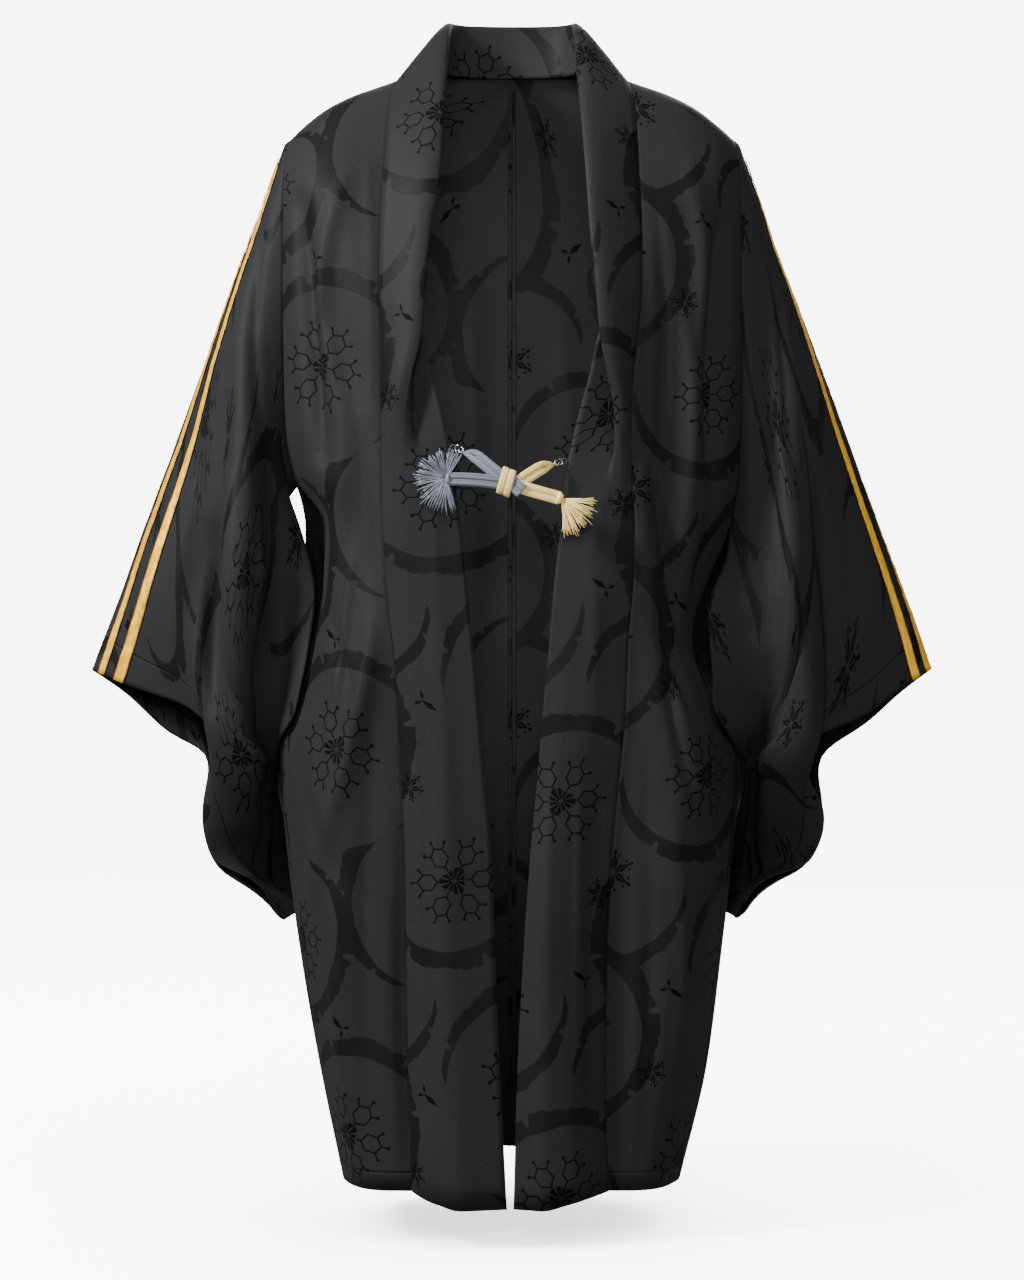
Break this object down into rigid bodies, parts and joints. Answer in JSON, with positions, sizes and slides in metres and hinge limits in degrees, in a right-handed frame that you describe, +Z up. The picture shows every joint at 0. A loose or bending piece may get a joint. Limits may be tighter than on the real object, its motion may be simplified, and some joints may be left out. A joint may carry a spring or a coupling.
{
  "type": "kimono jacket",
  "caption": "Long open-front kimono jacket with wide hanging sleeves, a folded collar band, gold ribbons along the sleeves and a braided tie with tassels.",
  "frame": {"origin": "midpoint between the shoulders, level with the points where they meet the neck, where the wearer holds the jacket up", "axes": "+Z up along the jacket's length, -Y out of its open front, +X to the wearer's left"},
  "size_m": [0.7749, 0.2906, 1.0778],
  "materials": {
    "silk": "satin",
    "gold_ribbon": "gloss",
    "grey_braid": "matte",
    "cream_braid": "matte",
    "ring_metal": "polished"
  },
  "bodies": {
    "root": {"body_right": "silk", "body_left": "silk", "gusset_right": "silk", "gusset_left": "silk", "sleeve_right": "silk", "sleeve_left": "silk", "collar": "silk", "ribbon_right_outer": "gold_ribbon", "ribbon_right_inner": "gold_ribbon", "ribbon_left_outer": "gold_ribbon", "ribbon_left_inner": "gold_ribbon", "chi_loop_right": "silk", "chi_loop_left": "silk", "s_ring_right": "ring_metal", "s_ring_left": "ring_metal", "himo_grey": "grey_braid", "himo_grey_tail": "grey_braid", "tassel_grey": "grey_braid", "himo_cream": "cream_braid", "himo_cream_tail": "cream_braid", "himo_knot": "cream_braid", "tassel_cream": "cream_braid"}
  },
  "joints": []
}
